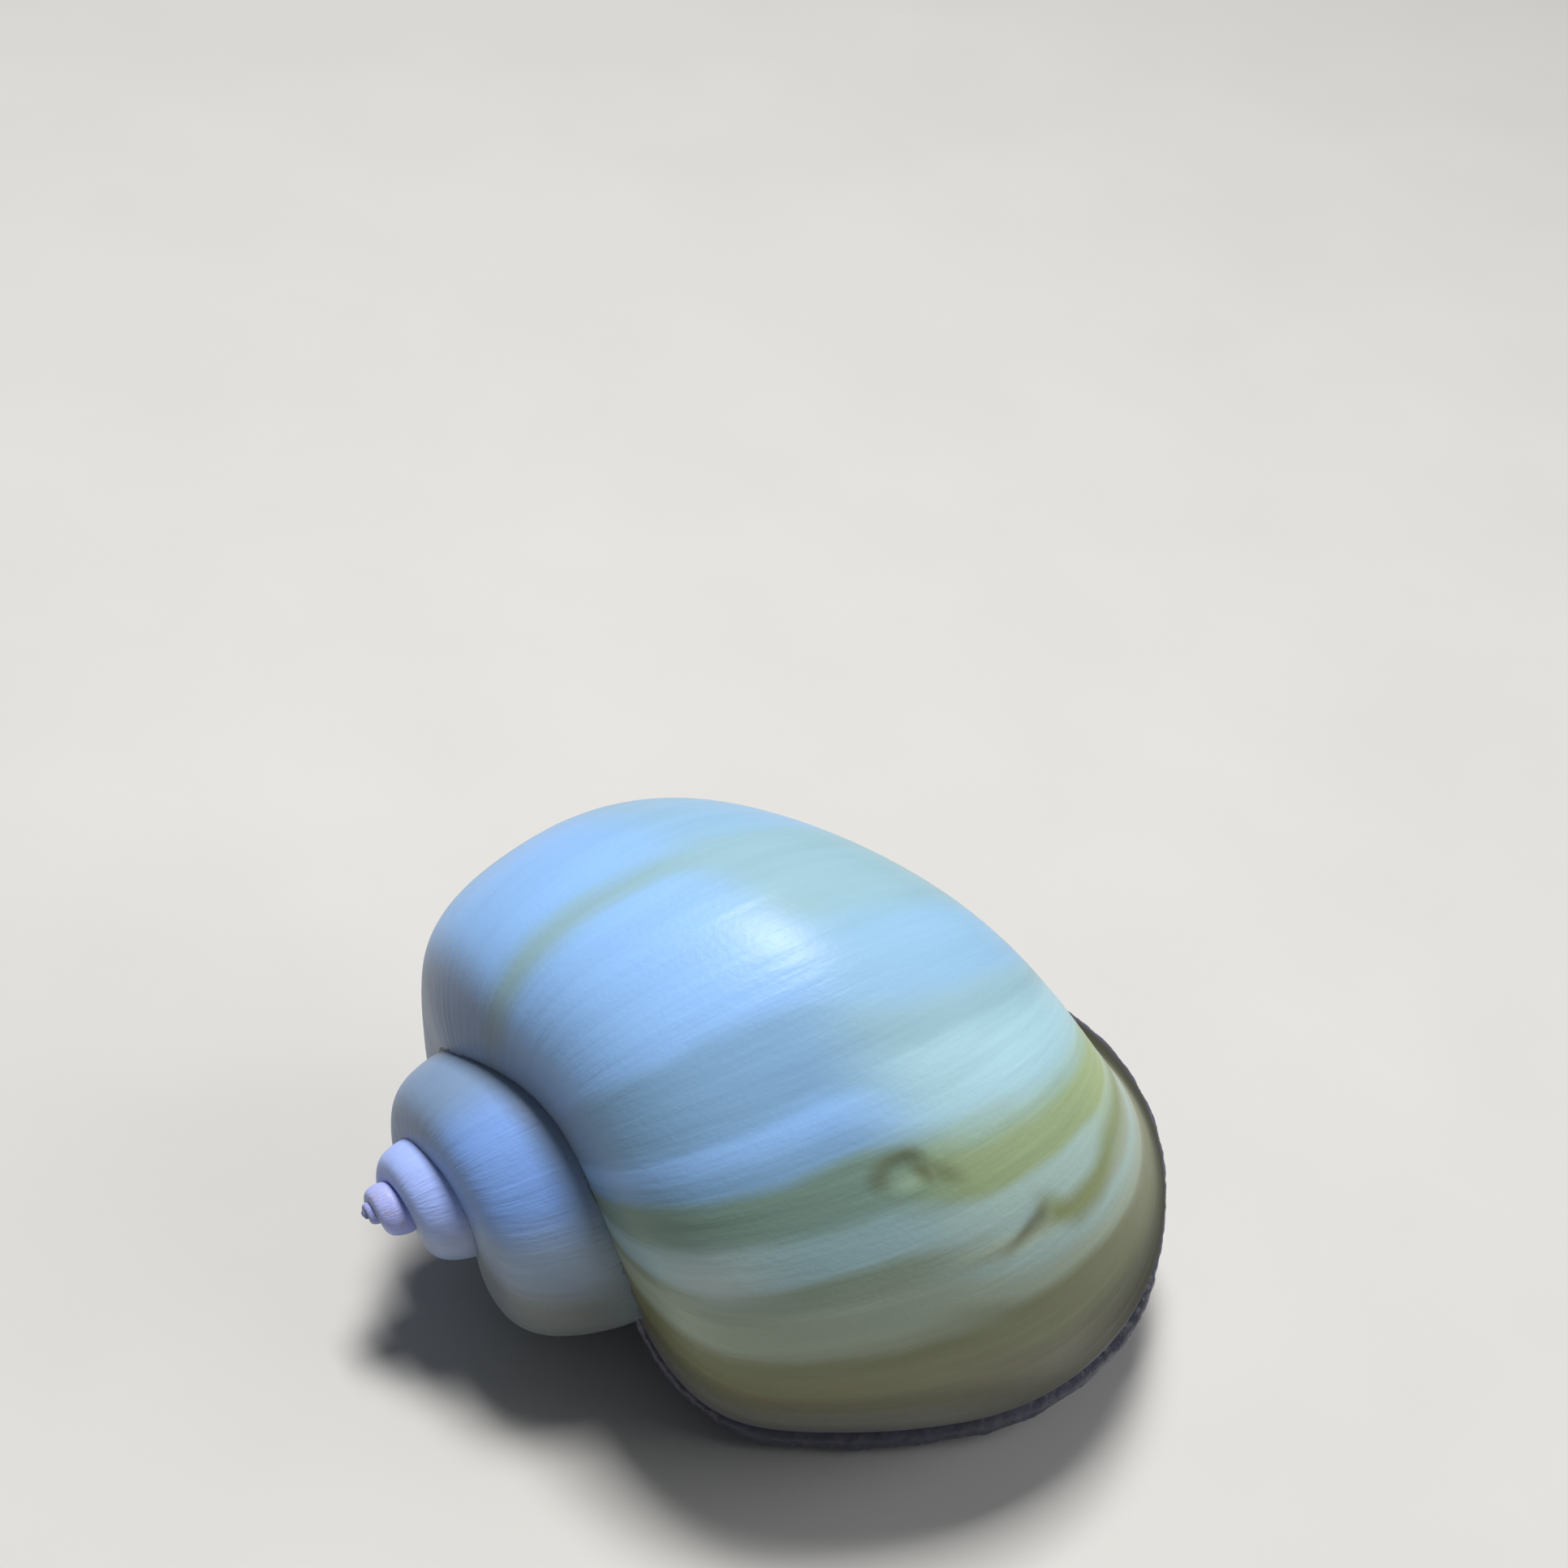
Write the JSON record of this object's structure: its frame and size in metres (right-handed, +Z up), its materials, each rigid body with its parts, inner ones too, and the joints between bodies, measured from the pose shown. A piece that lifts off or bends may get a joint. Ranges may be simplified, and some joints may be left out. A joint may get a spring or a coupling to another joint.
{
  "type": "apple snail",
  "caption": "Still life-size apple snail at rest: a pale coiled shell laid low over a dark soft body, with a flat foot, head, feelers, siphon and horny door.",
  "frame": {"origin": "a point on the foot's flat sole near its middle, at the level of the floor", "axes": "+Z up from the floor, +Y towards the snail's head, +X to the snail's right; the shell's apex points to -X and -Y"},
  "size_m": [0.0464, 0.0495, 0.0333],
  "materials": {
    "shell_pale_blue": "satin lime shell, pale lavender blue with olive growth bands near the lip",
    "flesh_slate": "moist soft skin, slate black with small golden specks",
    "eye_black": "wet glossy black",
    "operculum_horn": "satin brown horn with growth rings"
  },
  "bodies": {
    "root": {"shell": "shell_pale_blue", "mantle": "flesh_slate", "body_stalk": "flesh_slate", "foot_tail": "flesh_slate", "foot_middle": "flesh_slate", "foot_front": "flesh_slate", "neck": "flesh_slate", "head": "flesh_slate", "snout": "flesh_slate", "palp_left": "flesh_slate", "palp_right": "flesh_slate", "siphon": "flesh_slate", "nuchal_lobe_right": "flesh_slate", "eye_stalk_left": "flesh_slate", "eye_stalk_right": "flesh_slate", "tentacle_left_1": "flesh_slate", "tentacle_left_2": "flesh_slate", "tentacle_left_3": "flesh_slate", "tentacle_left_4": "flesh_slate", "tentacle_right_1": "flesh_slate", "tentacle_right_2": "flesh_slate", "tentacle_right_3": "flesh_slate", "tentacle_right_4": "flesh_slate", "eye_left": "eye_black", "eye_right": "eye_black", "operculum": "operculum_horn"}
  },
  "joints": []
}
